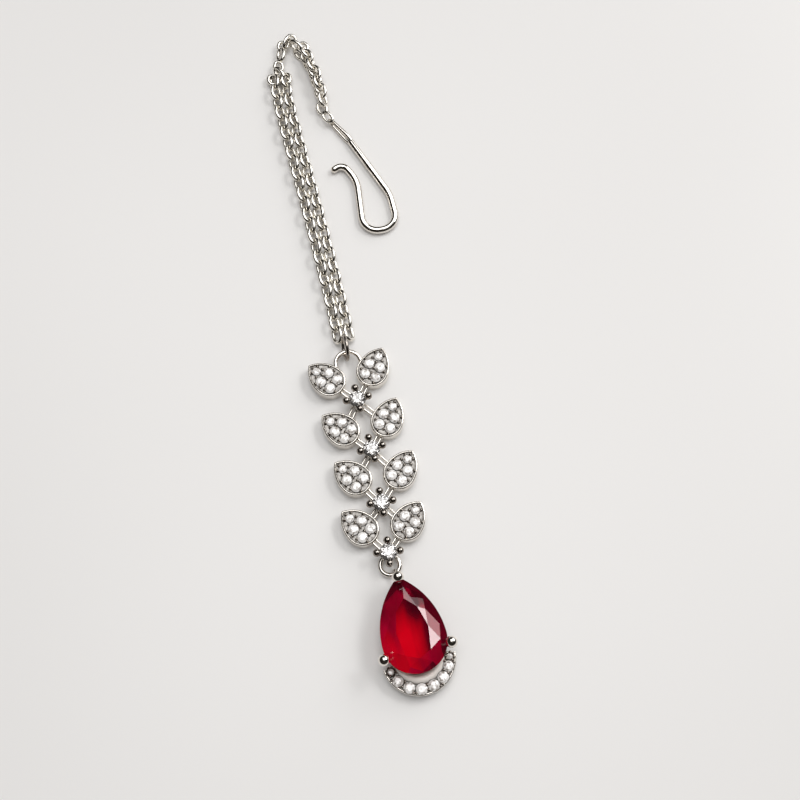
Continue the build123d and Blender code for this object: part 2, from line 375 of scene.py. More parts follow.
def crystal(name, clearness, flash_shade_colour):
    """Clear cut stones with painted flashes: light and dark patches in their colour stand in for
    facets catching light; the small ones are whiter.
    """
    material, tree, shader = gem(name, clearness, 2.15, 0.0)
    place = add_node(tree, "ShaderNodeTexCoord")
    painted_flashes = add_node(tree, "ShaderNodeTexVoronoi", [("Scale", 3000)])
    tree.links.new(place.outputs["Object"], painted_flashes.inputs["Vector"])
    colour_by(tree, shader, painted_flashes.outputs["Color"], ((0.25, flash_shade_colour), (0.4, (1.0, 0.972, 0.945))))
    return material


def ruby(name, roughness, clearness, glow_middle, squeeze, zones):
    """Deep red stone with painted light: its colour is brightest near an upright line through
    glow_middle and mostly darkens outwards, standing in for the glow and shade inside the stone;
    faint streaks cross it. The places are in the pear's own axes from its round end, in
    millimetres. squeeze weighs the distances across and along the pear, and each zone is a
    distance and its colour."""
    material, tree, shader = gem(name, clearness, 1.77, roughness)
    place = add_node(tree, "ShaderNodeTexCoord")
    upright = add_node(tree, "ShaderNodeVectorRotate", [
        ("Center", Vector(PEAR_AT) * MM), ("Angle", -radians(PEAR_LEAN))], rotation_type="Z_AXIS")
    tree.links.new(place.outputs["Object"], upright.inputs["Vector"])
    from_glow_middle = add_node(tree, "ShaderNodeMapping", [
        ("Location", -(Vector(PEAR_AT) + Vector((*glow_middle, 0))) * MM)])
    tree.links.new(upright.outputs["Vector"], from_glow_middle.inputs["Vector"])
    squeezed = add_node(tree, "ShaderNodeVectorMath", [(1, (*squeeze, 0))], operation="MULTIPLY")
    tree.links.new(from_glow_middle.outputs["Vector"], squeezed.inputs[0])
    far = add_node(tree, "ShaderNodeVectorMath", operation="LENGTH")
    tree.links.new(squeezed.outputs["Vector"], far.inputs[0])
    last = zones[-1][0]
    share = add_node(tree, "ShaderNodeMath", [(1, 1 / (last * MM))], operation="MULTIPLY")
    tree.links.new(far.outputs["Value"], share.inputs[0])
    streaked = add_node(tree, "ShaderNodeMapping", [
        ("Scale", (1.0, 0.3, 0.5)), ("Rotation", (0, 0, 0.45))])
    tree.links.new(place.outputs["Object"], streaked.inputs["Vector"])
    streaks = add_node(tree, "ShaderNodeTexNoise", [
        ("Scale", 420), ("Detail", 1.5), ("Distortion", 0.6)])
    tree.links.new(streaked.outputs["Vector"], streaks.inputs["Vector"])
    centred = add_node(tree, "ShaderNodeMath", [(1, 0.5)], operation="SUBTRACT")
    tree.links.new(streaks.outputs["Fac"], centred.inputs[0])
    mixed = add_node(tree, "ShaderNodeMath", [(1, 0.8)], operation="MULTIPLY_ADD")
    tree.links.new(centred.outputs["Value"], mixed.inputs[0])
    tree.links.new(share.outputs["Value"], mixed.inputs[2])
    stops = [(distance / last, colour) for distance, colour in zones]
    colour_by(tree, shader, mixed.outputs["Value"], stops)
    return material


SILVER = silver("silver", (0.84, 0.79, 0.725), (0.955, 0.92, 0.865), (0.05, 0.12))
CHAIN_SILVER = silver("silver_chain", (0.88, 0.84, 0.77), (0.98, 0.95, 0.89), (0.14, 0.24))
# Silver darkened in colour for the grains, the claws and the chain's ring: painted shade and dark
# reflections.
SHADE_PAINTED_SILVER = silver("silver_shade_painted", (0.36, 0.32, 0.28), (0.5, 0.46, 0.42), (0.06, 0.12))
# The sunk floors between the stones are darkened in colour: painted shade.
RECESS_SHADE = painted_shade_silver("silver_recess_shade", (0.12, 0.109, 0.099), (0.45, 0.43, 0.405))
# The seats round the stones are coloured near black: painted shadow lines.
SEAT_SHADOW = painted_shade_silver("silver_seat_shadow", (0.012, 0.01, 0.008), (0.06, 0.052, 0.045))
CRYSTAL = crystal("crystal", 0.93, (0.8, 0.78, 0.78))
PAVE_CRYSTAL = crystal("crystal_pave", 0.05, (0.42, 0.38, 0.345))
SATIN = dull_silver("silver_satin", 700, 2.0, ((0, (0.74, 0.69, 0.64)), (1, (0.84, 0.79, 0.74))),
                    (0.38, 0.5))

# ---- cut stones ----


def brilliant(diameter, girdle_z, table=0.56, crown=0.16, girdle=0.02, pavilion=0.43):
    """A round brilliant with its table, star, kite, half and pavilion facets. Its table and
    its heights are shares of the diameter."""
    big = diameter / 2
    small = table * big
    top = girdle_z + (crown + girdle / 2) * diameter
    edge_top, edge_low = girdle_z + girdle / 2 * diameter, girdle_z - girdle / 2 * diameter
    culet = edge_low - pavilion * diameter
    star = (small * 1.05 + big) / 2
    star_z = top + (edge_top - top) * (star * cos(pi / 8) - small) / (big - small)
    low = 0.3 * big
    low_z = culet + (edge_low - culet) * low * cos(pi / 8) / big

    def ring(radius, z, count, start=0.0):
        angles = start + steps_round(count)
        return np.stack([radius * np.cos(angles), radius * np.sin(angles), np.full(count, z)], 1)

    points = np.vstack([
        ring(small, top, 8), ring(star, star_z, 8, pi / 8), ring(big, edge_top, 16),
        ring(big, edge_low, 16), ring(low, low_z, 8, pi / 8), [[0, 0, culet]],
    ])
    t, s, g, h, m, c = 0, 8, 16, 32, 48, 56
    faces = [list(range(8))]
    for k in range(8):
        n, before = (k + 1) % 8, (k - 1) % 8
        g0, g1, g2 = g + 2 * k, g + 2 * k + 1, g + (2 * k + 2) % 16
        h0, h1, h2 = h + 2 * k, h + 2 * k + 1, h + (2 * k + 2) % 16
        faces += [
            [t + k, s + k, t + n], [t + k, s + before, g0, s + k],
            [s + k, g0, g1], [s + k, g1, g2],
            [g0, h0, h1, g1], [g1, h1, h2, g2],
            [m + k, h1, h0], [m + k, h2, h1],
            [c, m + k, h0, m + before],
        ]
    return points, faces


def cut_stone(form, planes, flat_above):
    """A closed form cut by planes, each a point and an outward normal. Points that nearly
    meet, and faces that lie in one plane, are joined above the height flat_above."""
    bm = bmesh.new()
    corners = [bm.verts.new(p) for p in form[0]]
    for face in form[1]:
        bm.faces.new([corners[i] for i in face])
    for point, normal in planes:
        cut = bmesh.ops.bisect_plane(
            bm, geom=bm.verts[:] + bm.edges[:] + bm.faces[:], plane_co=point, plane_no=normal,
            clear_outer=True, dist=1e-5,
        )
        edges = [e for e in cut["geom_cut"] if isinstance(e, bmesh.types.BMEdge)]
        if edges:
            bmesh.ops.contextual_create(bm, geom=edges)
    verts = [v for v in bm.verts if v.co.z > flat_above]
    bmesh.ops.remove_doubles(bm, verts=verts, dist=0.03)
    verts = [v for v in bm.verts if v.co.z > flat_above]
    edges = [e for e in bm.edges if all(v.co.z > flat_above for v in e.verts)]
    bmesh.ops.dissolve_limit(bm, angle_limit=radians(0.5), verts=verts, edges=edges)
    bmesh.ops.recalc_face_normals(bm, faces=bm.faces[:])
    bm.verts.index_update()
    form = (np.array([v.co[:] for v in bm.verts]), [[v.index for v in f.verts] for f in bm.faces])
    bm.free()
    return form


# ---- leaves ----

LEAF_LENGTH, LEAF_WIDTH = 7.1, 5.3
ARCH_ABOVE_LEAF = 4.83            # from the right leaf's round end up to the arch's outside
LEAF_ANGLES = {
    "leaf_1_left": 131, "leaf_1_right": 56, "leaf_2_left": 132, "leaf_2_right": 57,
    "leaf_3_left": 129, "leaf_3_right": 49, "leaf_4_left": 127, "leaf_4_right": 47,
}
# A leaf's rim and the sunk floor inside it: (inset from the outline, height)
LEAF_RIM = (
    (0.42, 1.3), (0.42, 0.0), (0.0, 0.0), (0.0, 1.72), (0.02, 1.86), (0.07, 1.95),
    (0.15, 1.995), (0.24, 2.0), (0.29, 1.96), (0.33, 1.88), (0.34, 1.75), (0.35, 1.5),
)
LEAF_FLOOR = (
    (0.5, 1.2), (0.35, 1.25), (0.35, 1.66), (0.41, 1.66), (0.47, 1.77), (1.2, 1.76), (2.4, 1.75),
)
# Rows of a leaf's stones: how far along it from the middle of its round end, half the spacing
# of the pair, and the diameter
PAVE_ROWS = ((2.72, 0.0, 1.42), (1.05, 0.97, 1.74), (-0.83, 0.94, 1.74))
PAVE_Z = 1.88                     # height of the stones' girdles and of the grains
PAVE_CUT = (0.56, 0.13, 0.02, 0.24)  # the small stones' table, crown, girdle and pavilion
GRAIN_R, GRAIN_GAP = 0.27, 0.13   # radius, distance from a stone's edge to a grain's middle
GRAIN_INSET = 0.42                # least distance of a grain's middle from the leaf's outline
PAVE_METALS = [SILVER, RECESS_SHADE, SEAT_SHADOW, SHADE_PAINTED_SILVER]
IN_RECESS_SHADE, IN_SEAT_SHADOW, IN_GRAIN = 1, 2, 3  # finishes: places in PAVE_METALS


def leaf_outline(inset):
    return pear_outline(LEAF_LENGTH, LEAF_WIDTH, inset)


def pave_stones():
    """The leaf's small stones: x, y and diameter."""
    return [(side, along, d) for along, half, d in PAVE_ROWS for side in sorted({-half, half})]


def inside_outline(p, ring):
    """Whether a flat point lies inside a closed ring of points."""
    x, y = p
    a, b = ring, np.roll(ring, -1, 0)
    crosses = ((a[:, 1] > y) != (b[:, 1] > y)) & (
        x < (b[:, 0] - a[:, 0]) * (y - a[:, 1]) / (b[:, 1] - a[:, 1] + 1e-12) + a[:, 0])
    return bool(np.count_nonzero(crosses) % 2)


def grain_places(stones, inside, ways):
    """Where grains stand round each stone in even steps: near ones are merged, and those on
    a stone are left out."""
    places = []
    for x, y, d in stones:
        for k in range(ways):
            a = (k + 0.5) * 2 * pi / ways
            reach = d / 2 + GRAIN_GAP
            p = np.array((x + reach * cos(a), y + reach * sin(a)))
            covered = any(hypot(p[0] - u, p[1] - v) < e / 2 + 0.03 for u, v, e in stones)
            if covered or not inside(p):
                continue
            near = [i for i, q in enumerate(places) if np.linalg.norm(p - q) < 0.4]
            if near:
                places[near[0]] = (places[near[0]] + p) / 2
            else:
                places.append(p)
    return places


def foil_cup(d):
    """The bright cup that one small stone sits in, its edge at the girdle."""
    r = d / 2
    profile = [(0, -0.42), (r * 0.55, -0.36), (r * 0.9, -0.12), (r, -0.02), (r, -0.3)]
    return turned_form(profile, 28)


def seat_shadow_ring(d):
    """A thin ring round a small stone, coloured near black: a painted shadow line at its edge."""
    return ring_form((0, 0, -0.03), d / 2 + 0.035, 0.04, count=28, sides=8)


def hold_stones(put, stones, z, grain_z, inside, ways):
    """What holds small stones: a bright cup and a ring of painted shadow for each, then the grains,
    whose silver is darkened as painted shade. put takes a form and its finish."""
    for x, y, d in stones:
        put(moved(foil_cup(d), (x, y, z)), 0)
        put(moved(seat_shadow_ring(d), (x, y, z)), IN_SEAT_SHADOW)
    for x, y in grain_places(stones, inside, ways):
        put(ball((x, y, grain_z), GRAIN_R, 12), IN_GRAIN)


def leaf_metal():
    """One leaf's metal at the origin, its tip on +Y."""
    metal = Shape()
    ring = leaf_outline(GRAIN_INSET)

    def put(form, finish):
        metal.add(form, True, finish)

    put(shell(leaf_outline, LEAF_RIM), 0)
    put(shell(leaf_outline, LEAF_FLOOR), IN_RECESS_SHADE)
    hold_stones(put, pave_stones(), PAVE_Z, PAVE_Z, lambda p: inside_outline(p, ring), 6)
    return metal


def place_of_leaf(name):
    """Where a leaf's round end is, worked out from its node's box."""
    outline = spun(leaf_outline(0.0), LEAF_ANGLES[name] - 90)
    if "_1_" in name:
        low, high = box_mm("leaf_pair_1")
        if name.endswith("left"):
            return low[:2] - outline.min(0)
        return np.array((high[0] - outline[:, 0].max(), high[1] - ARCH_ABOVE_LEAF))
    return middle(name)[:2] - (outline.min(0) + outline.max(0)) / 2


def make_leaves():
    metal = leaf_metal()
    stones = Shape()
    for x, y, d in pave_stones():
        stones.add(moved(brilliant(d, PAVE_Z, *PAVE_CUT), (x, y, 0), 17 * x), False)
    for name, angle in LEAF_ANGLES.items():
        at = (*place_of_leaf(name), 0)
        node = "leaf_pair_1" if "_1_" in name else name
        metal.placed(at, angle - 90).object(name + "_metal", PAVE_METALS, "silver", [node])
        stones.placed(at, angle - 90).object(name + "_stones", [PAVE_CRYSTAL], "crystal", [])


make_leaves()

# ---- arch, rings and links ----

ARCH_WIRE, ARCH_Z, ARCH_RISE = 0.38, 1.25, 2.25
ARCH_LEFT, ARCH_RIGHT = (1.5, 2.28), (-1.47, 2.28)  # its ends, from the leaves' round ends
DROP_RING_R, DROP_RING_WIRE = 1.55, 0.38
CHAIN_RING_R, CHAIN_RING_WIRE = 2.0, 0.3
CHAIN_RING_LEAN = 8               # degrees that the ring on edge leans
END_RING_WIRE = 0.25
LINK_FROM_LEAF, LINK_FROM_STONE = 1.75, 1.1  # from the round end's and the stone's middle
OVAL_HALF_WIDTH, OVAL_WIRE, OVAL_Z = 0.36, 0.23, 0.95  # the small links beside the leaves


def arc_through(a, b, c, count=40):
    """Points of the circle arc from a by b to c, in plan."""
    ab, ac = b - a, c - a
    b2, c2 = ab @ ab, ac @ ac
    d = 2 * (ab[0] * ac[1] - ab[1] * ac[0])
    centre = a + np.array((ac[1] * b2 - ab[1] * c2, ab[0] * c2 - ac[0] * b2)) / d
    r = np.linalg.norm(a - centre)
    angles = [atan2(*(p - centre)[::-1]) for p in (a, b, c)]
    sweep = (angles[2] - angles[0]) % (2 * pi)
    if (angles[1] - angles[0]) % (2 * pi) > sweep:
        sweep -= 2 * pi
    t = angles[0] + sweep * np.linspace(0, 1, count)
    return np.column_stack([centre[0] + r * np.cos(t), centre[1] + r * np.sin(t)])


def make_arch():
    left, right = place_of_leaf("leaf_1_left"), place_of_leaf("leaf_1_right")
    start, end = left + ARCH_LEFT, right + ARCH_RIGHT
    line = arc_through(start, (start + end) / 2 + (0.0, ARCH_RISE), end)
    Shape().add(tube(at_height(line, ARCH_Z), ARCH_WIRE, 20)).object("arch", [SILVER], "silver", [])


def oval(half_length, half_width, count=40, square=2.2):
    """The x and the y of points round an oval that is a little squarer than an ellipse."""
    a = steps_round(count)
    x = half_length * np.sign(np.cos(a)) * np.abs(np.cos(a)) ** (2 / square)
    y = half_width * np.sign(np.sin(a)) * np.abs(np.sin(a)) ** (2 / square)
    return x, y


def make_rings():
    ring = ring_form(middle("drop_ring"), DROP_RING_R, DROP_RING_WIRE)
    Shape().add(ring).object("drop_ring_wire", [SILVER], "silver", ["drop_ring"])
    lean = radians(CHAIN_RING_LEAN)
    axis = (cos(lean), 0, -sin(lean))
    ring = ring_form(middle("chain_ring"), CHAIN_RING_R, CHAIN_RING_WIRE, axis)
    # The ring on edge is in silver darkened as painted shade and dark reflection.
    Shape().add(ring).object("chain_ring_wire", [SHADE_PAINTED_SILVER], "silver", ["chain_ring"])
    link = tube(at_height(np.transpose(oval(1.15, 0.62)), 0), END_RING_WIRE, 16, True)
    link = moved(moved(link, (0, 0, 0), 0, 25), middle("end_ring") + (-0.15, 0.1, 0.25), -60)
    Shape().add(link).object("end_ring_wire", [CHAIN_SILVER], "silver", ["end_ring"])


def stadium(length, half, count=12):
    """Points round two half circles whose middles are length apart along X."""
    a = np.linspace(-pi / 2, pi / 2, count)
    right = np.stack([length / 2 + half * np.cos(a), half * np.sin(a)], 1)
    left = np.stack([-length / 2 - half * np.cos(a), -half * np.sin(a)], 1)
    return np.vstack([right, left])


def make_links():
    """The small oval links: each one lies on the line from a leaf to a round stone."""
    wires = Shape()
    nodes = [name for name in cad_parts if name.startswith("link_")]
    for name in nodes:
        _, row, place, side = name.split("_")
        leaf_row = int(row) + (place == "lower")
        start = place_of_leaf(f"leaf_{leaf_row}_{side}")
        end = middle(f"round_stone_{row}")[:2]
        across = end - start
        distance = np.linalg.norm(across)
        length = distance - LINK_FROM_LEAF - LINK_FROM_STONE
        centre = start + across / distance * (LINK_FROM_LEAF + length / 2)
        form = tube(at_height(stadium(length, OVAL_HALF_WIDTH), 0), OVAL_WIRE, 14, True)
        wires.add(moved(form, (*centre, OVAL_Z), degrees(atan2(across[1], across[0]))))
    wires.object("link_wires", [SILVER], "silver", nodes)


make_arch()
make_rings()
make_links()

# ---- claw settings ----

SETTING_TURNS = (1, 4, -2, -6)    # degrees, from the first row's setting down
ROUND_STONE, ROUND_STONE_Z = 2.8, 2.62  # diameter, height of the girdle
# One claw along +X: the stem, the round of its head and the lip that thins over the stone
STEM = ((1.0, 0, 1.2), (1.35, 0, 1.7), (1.66, 0, 2.3), (1.8, 0, 2.75))
STEM_R = (0.27, 0.3, 0.36, 0.42)
HEAD, HEAD_R = (1.83, 0, 2.84), 0.62
LIP = ((1.84, 0, 2.92), (1.6, 0, 3.0), (1.4, 0, 3.02), (1.24, 0, 3.0))
LIP_R = (0.46, 0.36, 0.24, 0.13)
SETTING_CUP = (  # (radius, height)
    (0, 1.15), (1.1, 1.15), (1.25, 1.25), (1.38, 2.3), (1.36, 2.36), (1.26, 2.36), (1.1, 1.9),
    (0, 1.4),
)
POST_LOW, POST_TOP, POST_R = 0.3, 1.2, 0.3  # the post under the cup, without its domes


def claw():
    """One claw: a stem that leans out and a drop-shaped head pressed on the stone."""
    form = Shape().add(tube(STEM, STEM_R, 16))
    form.add(ball(HEAD, HEAD_R, 28))
    form.add(tube(LIP, LIP_R, 18))
    return form.points, form.faces


def make_settings():
    stone = brilliant(ROUND_STONE, ROUND_STONE_Z)
    cup = turned_form(SETTING_CUP, 40)
    for row, turn in enumerate(SETTING_TURNS, 1):
        x, y = middle(f"round_stone_{row}")[:2]
        metal = Shape().add(moved(cup, (x, y, 0)))
        for k in range(4):
            # The claws take the second material, silver darkened as painted shade and dark
            # reflection.
            metal.add(moved(claw(), (x, y, 0), turn + 90 * k), True, 1)
        metal.add(tube([(x, y, POST_LOW), (x, y, POST_TOP)], POST_R, 12))
        metal.object(f"claw_setting_{row}_metal", [SILVER, SHADE_PAINTED_SILVER], "silver",
                     [f"claw_setting_{row}"])
        cut = Shape().add(moved(stone, (x, y, 0), 11 * row), False)
        cut.object(f"round_stone_{row}_cut", [CRYSTAL], "crystal", [f"round_stone_{row}"])


make_settings()

# ---- pear pendant ----

PEAR_LENGTH, PEAR_WIDTH = 15.0, 10.0
PEAR_LEAN = 3.2                   # degrees that its tip leans to the left


def pear(inset, count=96):
    return pear_outline(PEAR_LENGTH, PEAR_WIDTH, inset, count)


def pear_place():
    """Where the ruby's round end is, worked out from its node's box."""
    outline = spun(pear(0.0), PEAR_LEAN)
    return middle("pear_stone")[:2] - (outline.min(0) + outline.max(0)) / 2


PEAR_AT = (*pear_place(), 0)

# Each group of the ruby's facets has its own material, each with its own painted glow and shade.
RUBY_TABLE = ruby("ruby_table", 0.0, 0.35, (-1.3, -1.2), (1.0, 0.42), (
    (1.0, (1.0, 0.0, 0.015)), (2.1, (0.6, 0.0, 0.012)), (3.0, (0.2, 0.0, 0.01)),
    (3.7, (0.09, 0.0, 0.008))))
RUBY_CROWN = ruby("ruby_crown", 0.0, 0.35, (-2.8, -4.0), (0.8, 0.5), (
    (0.8, (1.0, 0.0, 0.02)), (2.2, (0.75, 0.0, 0.02)), (3.6, (0.5, 0.0, 0.03)),
    (4.7, (0.36, 0.0, 0.02)), (5.9, (0.42, 0.0, 0.025)), (6.9, (0.07, 0.0, 0.006))))
RUBY_EDGE = ruby("ruby_edge", 0.0, 0.4, (-4.2, -1.5), (0.9, 0.6), (
    (0.8, (1.0, 0.0, 0.03)), (2.4, (0.75, 0.0, 0.045)), (4.5, (0.45, 0.0, 0.03)),
    (6.0, (0.18, 0.0, 0.015)), (8.0, (0.12, 0.0, 0.01))))
RUBY_BACK = ruby("ruby_back", 0.22, 0.5, (-0.8, -2.5), (1.0, 0.6), (
    (1.5, (1.0, 0.0, 0.012)), (4.0, (0.6, 0.0, 0.02)), (6.5, (0.2, 0.0, 0.015))))
RUBIES = [RUBY_TABLE, RUBY_CROWN, RUBY_BACK, RUBY_EDGE]
ON_TABLE, ON_CROWN, ON_BACK, ON_EDGE = range(4)  # finishes: places in RUBIES

# Crown of the ruby, right half from the tip down. Kites: the table corner that each one hangs
# from, x, y, and its outer corner, x, y. Stars: the corner of each one that points out, x, y, z,
# and the heights along the stone at which the two facets between it and the edge meet the edge.
KITES = (
    (0.0, 6.32, 0.0, 9.6), (1.66, 4.57, 2.96, 6.5), (2.5, 1.45, 4.25, 1.37),
    (1.95, -2.08, 3.52, -2.58), (0.0, -3.0, 0.0, -4.8),
)
STARS = (
    (0.35, 8.2, 5.22, 8.9, 7.6), (2.71, 3.99, 5.58, 5.4, 3.2), (3.79, -0.89, 5.36, 0.2, -2.0),
    (1.74, -3.79, 5.22, -3.82, -4.84),
)
TABLE_Z, EDGE_TOP, EDGE_LOW, KEEL_Z = 5.9, 4.3, 4.1, 0.55
KEEL_MIDDLE = np.array((0.0, 1.2))

# Sections of the basket's rails: (inset from the outline, height)
LOW_RAIL = (
    (1.4, 0.05), (1.35, 0.1), (1.35, 1.0), (1.42, 1.08), (2.0, 1.08), (2.08, 1.0), (2.08, 0.1),
    (2.0, 0.0), (1.45, 0.0),
)
HIGH_RAIL = (
    (0.25, 2.75), (0.2, 2.8), (0.2, 3.4), (0.25, 3.45), (0.85, 3.45), (0.9, 3.4), (0.9, 2.75),
    (0.85, 2.7), (0.3, 2.7),
)
BASKET_POST_ANGLES = (-90, -50, -130, 12, 168)  # round the middle of the round end
BASKET_POST_R, ARM_R, LOOP_R = 0.3, 0.4, 0.22
# The arms of the three ball claws, the right one and the one at the tip, then their balls
SIDE_ARM = ((3.5, -1.2, 0.6), (5.16, -1.77, 2.4), (5.3, -1.79, 3.8), (5.22, -1.79, 5.2))
TIP_ARM = ((0, 8.2, 0.55), (0, 10.3, 3.2), (0, 10.7, 4.5), (0, 10.0, 5.5))
SIDE_BALL, SIDE_BALL_R = (5.25, -1.8, 5.45), 0.92
TIP_BALL, TIP_BALL_R = (0, 9.72, 5.8), 0.94
LOOP = ((0, 8.4, 1.4), (0, 10.5, 1.4), (0, 11.85, 1.45), (0, 11.85, 0.3))  # to the drop ring

HALO_CENTRE = np.array((0, -2.36))
HALO_HORN = radians(-6)           # angle of the crescent's right end round this middle
HALO_WAY = np.array([(cos(a), sin(a)) for a in np.linspace(HALO_HORN, -pi - HALO_HORN, 64)])
HALO_WALL_R, HALO_R = 5.38, 5.75  # its outer wall, inside and outside
HALO_FLOOR_R, HALO_FLOOR_OUT = 3.7, 5.42
HALO_WALL = (  # (inset, height)
    (0.03, 0.0), (0.0, 0.06), (0.0, 1.8), (0.03, 1.93), (0.1, 2.0), (0.17, 2.01), (0.185, 2.01),
)
HALO_FLOOR = ((0.0, 0.2), (0.0, 1.6), (0.3, 1.62), (0.8, 1.62))
HALO_BAND = (  # (radius, height)
    (2.4, 0.1), (2.4, 2.1), (2.5, 2.16), (3.85, 1.99), (3.93, 1.97), (3.98, 1.9), (4.0, 1.6),
    (4.0, 0.1),
)
HALO_STONE_R, HALO_STONE_Z, HALO_GRAIN_Z = 4.75, 2.02, 1.99
HALO_STONES = (  # (angle round the halo's middle, diameter)
    (-168, 1.05), (-146.5, 1.72), (-122.6, 1.82), (-99.4, 1.82), (-76.3, 1.82), (-53.5, 1.82),
    (-31, 1.68), (-13, 1.0),
)
IN_BAND = len(PAVE_METALS)        # finish: the satin, after the metals of the leaves


def plane_through(a, b, c):
    """A cutting plane through three points, its normal away from the stone's inside."""
    a, b, c = (np.array(p, float) for p in (a, b, c))
    normal = unit(np.cross(b - a, c - a))
    return a, normal if normal[2] > 0 else -normal


def edge_point(y):
    """The point of the right edge's top at a height along the stone."""
    half = PEAR_WIDTH / 2
    side = (half**2 + (PEAR_LENGTH - half)**2) / PEAR_WIDTH
    if y > 0:
        return sqrt(side**2 - y**2) - side + half, y, EDGE_TOP
    return sqrt(half**2 - y**2), y, EDGE_TOP


def crown_planes():
    """The cutting planes: the table, then stars and kites, then the facets next to the edge."""
    inner, outer = [], []
    for side in (1, -1):
        flip = np.array((side, 1, 1))
        table = [np.array((x, y, TABLE_Z)) * flip for x, y, _, _ in KITES]
        stars = [np.array(star[:3]) * flip for star in STARS]
        across = [stars[0] * (-1, 1, 1), *stars, stars[-1] * (-1, 1, 1)]
        tips = []
        for k, corner in enumerate(table):
            kite = plane_through(corner, across[k], across[k + 1])
            x, y = KITES[k][2] * side, KITES[k][3]
            fall = (kite[1][0] * (x - corner[0]) + kite[1][1] * (y - corner[1])) / kite[1][2]
            tips.append(np.array((x, y, TABLE_Z - fall)))
            inner.append(kite)
        for k, star in enumerate(stars):
            inner.append(plane_through(table[k], table[k + 1], star))
            for tip, y in zip(tips[k:k + 2], STARS[k][3:]):
                outer.append(plane_through(star, tip, edge_point(y) * flip))
    return [(np.array((0, 0, TABLE_Z)), np.array((0, 0, 1.0)))], inner, outer


def same_way(normal, planes):
    return any(np.dot(normal, way) > 0.9999 for _, way in planes)


def pear_cut():
    """The ruby: a crown of flat facets over a smooth, nearly conical keel."""
    flat = pear(0.0, 144)
    rings = []
    for u in np.append(np.linspace(0.97, 0, 15), -0.1):
        share = 1.0 if u < 0 else (1 - u) ** 0.88
        z = TABLE_Z + 0.5 if u < 0 else EDGE_LOW - (EDGE_LOW - KEEL_Z) * u
        rings.append(at_height(KEEL_MIDDLE + (flat - KEEL_MIDDLE) * share, z))
    faces = grid_faces(len(rings), len(flat)) + end_faces(len(rings), len(flat))
    return cut_stone((np.vstack(rings), faces), sum(crown_planes(), []), EDGE_LOW + 0.05)


def make_pear_stone():
    points, faces = pear_cut()
    zones = list(zip((ON_TABLE, ON_CROWN, ON_EDGE), crown_planes()))
    stone = Shape().add(moved((points, faces), PEAR_AT, PEAR_LEAN))
    for k, face in enumerate(faces):
        corners = points[face]
        normal = unit(sum(np.cross(p, q) for p, q in zip(corners, np.roll(corners, -1, 0))))
        found = [finish for finish, planes in zones if same_way(normal, planes)]
        stone.finish[k] = found[0] if found else ON_BACK
    stone.object("pear_stone_cut", RUBIES, "ruby", ["pear_stone"], 7)


def make_pear_setting():
    """The basket with its three ball claws, the loop for the drop ring and the halo's cup."""
    metal = Shape()

    def put(form, finish=0):
        metal.add(moved(form, PEAR_AT, PEAR_LEAN), True, finish)

    put(shell(pear, LOW_RAIL, True))
    put(shell(pear, HIGH_RAIL, True))
    for angle in BASKET_POST_ANGLES:
        way = np.array((cos(radians(angle)), sin(radians(angle))))
        put(tube([(*(way * 3.3), 0.6), (*(way * 4.42), 3.1)], BASKET_POST_R))
    for side in (-1, 1):
        put(tube([(side * 2.45, 4.6, 0.6), (side * 3.1, 4.95, 3.1)], BASKET_POST_R))
        arm = [(side * x, y, z) for x, y, z in SIDE_ARM]
        put(tube(smooth_route(arm, 0.2), ARM_R, 18))
        x, y, z = SIDE_BALL
        put(ball((side * x, y, z), SIDE_BALL_R, 40))
    put(tube(smooth_route(TIP_ARM, 0.2), ARM_R, 18))
    put(ball(TIP_BALL, TIP_BALL_R, 40))
    put(tube(smooth_route(LOOP, 0.2), LOOP_R))
    put_halo(put)
    metal.object("pear_setting_metal", [*PAVE_METALS, SATIN], "silver", ["pear_setting"])


def halo_stones():
    """The halo's small stones: x, y and diameter."""
    for angle, d in HALO_STONES:
        a = radians(angle)
        yield HALO_STONE_R * cos(a), HALO_STONE_R * sin(a) + HALO_CENTRE[1], d


def crescent(inner_r, outer_r):
    """Outline of a band between two radii, with square ends at the horns."""
    def ring(inset):
        outside = HALO_CENTRE + (outer_r - inset) * HALO_WAY
        return np.vstack([outside, HALO_CENTRE + (inner_r + inset) * HALO_WAY[::-1]])
    return ring


def halo_band():
    """The plain band inside the halo's stones, sloping down under the ruby."""
    rows = np.array([at_height(HALO_CENTRE + r * HALO_WAY, z) for r, z in HALO_BAND])
    size = len(HALO_WAY), len(rows)
    return rows.transpose(1, 0, 2).reshape(-1, 3), grid_faces(*size) + end_faces(*size)


def takes_grain(p):
    """Whether a flat point is where the halo's grains may stand."""
    return 4.0 < np.linalg.norm(p - HALO_CENTRE) < 5.5 and p[1] < -2.6


def put_halo(put):
    """The crescent cup: its outer wall, its sunk floor, its band, and what holds its stones."""
    put(shell(crescent(HALO_WALL_R, HALO_R), HALO_WALL))
    put(shell(crescent(HALO_FLOOR_R, HALO_FLOOR_OUT), HALO_FLOOR), IN_RECESS_SHADE)
    put(halo_band(), IN_BAND)
    hold_stones(put, list(halo_stones()), HALO_STONE_Z, HALO_GRAIN_Z, takes_grain, 8)


def make_halo_stones():
    cuts = Shape()
    for x, y, d in halo_stones():
        cut = moved(brilliant(d, HALO_STONE_Z, *PAVE_CUT), (x, y, 0), 31 * x)
        cuts.add(moved(cut, PEAR_AT, PEAR_LEAN), False)
    cuts.object("halo_stones", [PAVE_CRYSTAL], "crystal", [])


make_pear_stone()
make_pear_setting()
make_halo_stones()

# ---- chain ----

